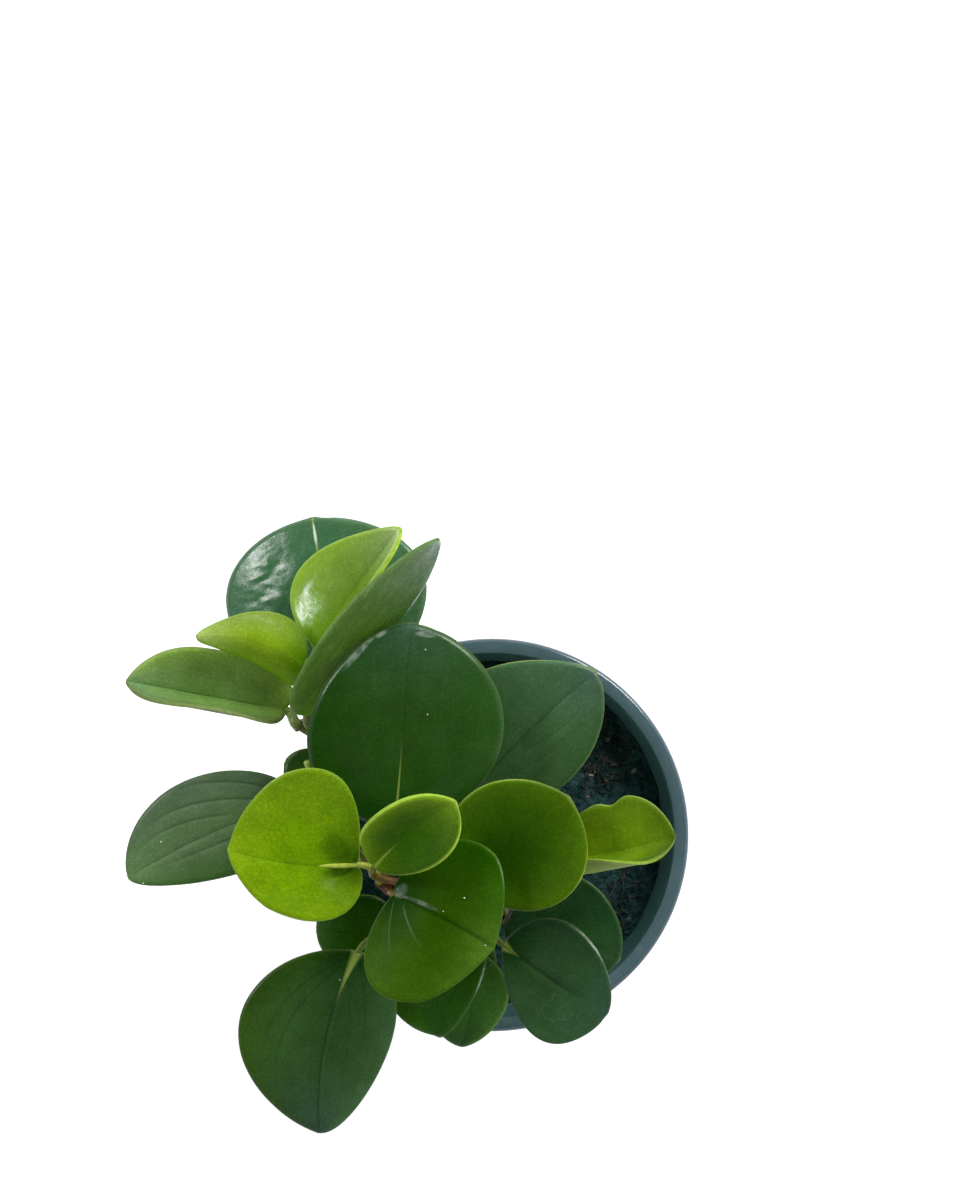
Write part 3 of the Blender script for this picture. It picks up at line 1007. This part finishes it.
def scattered_chips(chance):
    """Crumbs and bark chips, each a flattened lump of its own size and turn."""
    pieces = []
    patterns = chip_patterns()
    for number in range(CHIPS):
        angle = chance.uniform(0, 2 * math.pi)
        reach = SOIL_RADIUS * math.sqrt(chance.uniform(0.0, 0.93))
        x, y = reach * math.cos(angle), reach * math.sin(angle)
        if number < HEAPED_CHIPS:
            x, y = near_heap(chance, CHIP_HEAPS, 3.6, 5.0)
            if math.hypot(x, y) > SOIL_RADIUS - 2:
                continue
        size = chance.uniform(0.4, 1.2) ** 1.3
        long = chance.uniform(1.0, 2.6)
        chip = linked("chip", patterns[number % len(patterns)].data.copy())
        spots = read_corners(chip) * np.array([size * long, size, size * 0.5])
        tilt = Matrix.Rotation(chance.uniform(0, 6.3), 3, "Z") @ Matrix.Rotation(chance.uniform(-0.6, 0.6), 3, "Y")
        spots = spots @ np.array(tilt).T + np.array([x, y, soil_height(x, y) + size * 0.12])
        write_corners(chip, spots * MM)
        tone = chance.uniform(0.0, 0.62) + (0.42 * chance.random() if number < HEAPED_CHIPS else 0.0)
        keep_value(chip, "tone", np.full(len(spots), tone))
        pieces.append(chip)
    for pattern in patterns:
        bpy.data.objects.remove(pattern)
    return pieces


def scattered_fibres(chance):
    """Root fibres that curl on the soil, one of them long and pale."""
    pieces = []
    for number in range(FIBRES):
        angle = chance.uniform(-1.4, 1.3) if number % 2 else chance.uniform(0, 6.3)
        reach = SOIL_RADIUS * chance.uniform(0.45, 0.9)
        x, y = reach * math.cos(angle), reach * math.sin(angle)
        if number < FRONT_FIBRES:
            x, y = 47 + chance.gauss(0, 2.5), -33 + chance.gauss(0, 3)
        elif number >= SPREAD_FIBRES:
            x, y = near_heap(chance, FIBRE_HEAPS, 3, 5)
        way, bend = chance.uniform(0, 6.3), chance.uniform(-0.25, 0.25)
        if number == 0:
            x, y, way, bend = LONG_FIBRE
        steps = []
        for step in range(9):
            steps.append(Vector((x, y, soil_height(x, y) + 0.4 + 0.5 * math.sin(step * 0.4))))
            x += 0.9 * math.cos(way)
            y += 0.9 * math.sin(way)
            way += bend
        if any(math.hypot(step.x, step.y) > SOIL_RADIUS - 1 for step in steps):
            continue
        fibre = tube("fibre", steps, [0.34 if number == 0 else 0.15] * 9, 4)
        tone = 1.0 if number == 0 else chance.uniform(0.3, 0.75)
        keep_value(fibre, "tone", np.full(len(fibre.data.vertices), tone))
        pieces.append(fibre)
    return pieces


def make_chips(finish):
    """All that lies loose on the soil, thicker at the right, where it is open to view."""
    chance = random.Random(CHIP_SEED)
    pieces = scattered_chips(chance) + scattered_fibres(chance)
    for piece in pieces:
        piece.data.materials.append(finish)
    made = joined("soil_chips", pieces)
    shown_for(made, None)


def make_dust(finish):
    """Dust specks, where the light catches them on the leaves."""
    chance = random.Random(DUST_SEED)
    leaves = {leaf["name"]: leaf for leaf in LEAVES}
    pieces = []
    for name, t, s, size in DUST:
        leaf = leaves[name]
        turn, foot = placement(leaf)
        way = 1 if s > 0 else -1
        place, ahead, aside = [blade_at(leaf, np.array([a]), np.array([b]))[0][0]
                               for a, b in ((t, s), (t + 0.01, s), (t, s + 0.02 * way))]
        up = turn @ Vector(np.cross(ahead - place, aside - place) * way).normalized()
        speck = added(bpy.ops.mesh.primitive_ico_sphere_add, subdivisions=2, radius=size * 0.65)
        lean = up.to_track_quat("Z", "Y").to_matrix()
        middle = turn @ Vector(place) + foot + up * (BLADE_THICKNESS / 2 + 0.1)
        spots = []
        for spot in read_corners(speck):
            spot = Vector(spot) * (1 + 0.5 * noise.noise(Vector(spot) * 6 + Vector((t * 50, 0, 0))))
            spots.append((lean @ Vector((spot.x * chance.uniform(0.9, 1.1), spot.y, spot.z * 0.6)) + middle) * MM)
        write_corners(speck, spots)
        bpy.ops.object.shade_smooth()
        speck.data.materials.append(finish)
        pieces.append(speck)
    made = joined("leaf_dust", pieces)
    shown_for(made, None)


# The plant
bark = bark_finish()
for number, leaf in enumerate(LEAVES):
    make_leaf(leaf, number + 1)
for name, stem in STEMS.items():
    make_stem(name, stem, bark)
make_pot(plastic_finish())
make_soil(soil_finish())
make_chips(chip_finish())
make_dust(dust_finish())

# Floor
floor = added(bpy.ops.mesh.primitive_plane_add, size=12, location=(0, 0, -0.0002))
floor.name = "floor"
floor.data.materials.append(floor_finish())

# Light: two soft windows, right and left of the far side
for name, (way, size, watts) in WINDOWS.items():
    lamp = bpy.data.lights.new(name, "AREA")
    lamp.shape = "RECTANGLE"
    lamp.size = lamp.size_y = size
    lamp.energy = watts
    holder = linked(name, lamp)
    way = Vector(way).normalized()
    holder.location = Vector(WINDOW_CENTRE) + way * WINDOW_AWAY
    holder.rotation_euler = way.to_track_quat("Z", "Y").to_euler()

# A surround that is darkest straight above, so that the flat leaves keep their deep greens
world = bpy.data.worlds.new("surround")
bpy.context.scene.world = world
world.use_nodes = True
tree = world.node_tree
direction = tree.nodes.new("ShaderNodeTexCoord")
parts = tree.nodes.new("ShaderNodeSeparateXYZ")
tree.links.new(direction.outputs["Generated"], parts.inputs[0])
ramp = tree.nodes.new("ShaderNodeValToRGB")
low, high = ramp.color_ramp.elements
low.color = (0.92, 0.95, 1.0, 1)
high.position = 0.95
high.color = (0.03, 0.03, 0.03, 1)
for position, shade in ((0.5, 0.78), (0.77, 0.4)):
    ramp.color_ramp.elements.new(position).color = (shade * 0.98, shade, shade * 1.02, 1)
tree.links.new(parts.outputs["Z"], ramp.inputs[0])
tree.links.new(ramp.outputs[0], tree.nodes["Background"].inputs["Color"])
tree.nodes["Background"].inputs["Strength"].default_value = SURROUND_STRENGTH

# Camera
camera = bpy.data.cameras.new("camera")
camera.sensor_width = 36
camera.lens = CAMERA_LENS
holder = linked("camera", camera)
holder.location = Vector(CAMERA_PLACE) * MM
bpy.context.scene.camera = holder
bpy.context.scene.view_settings.view_transform = "Standard"
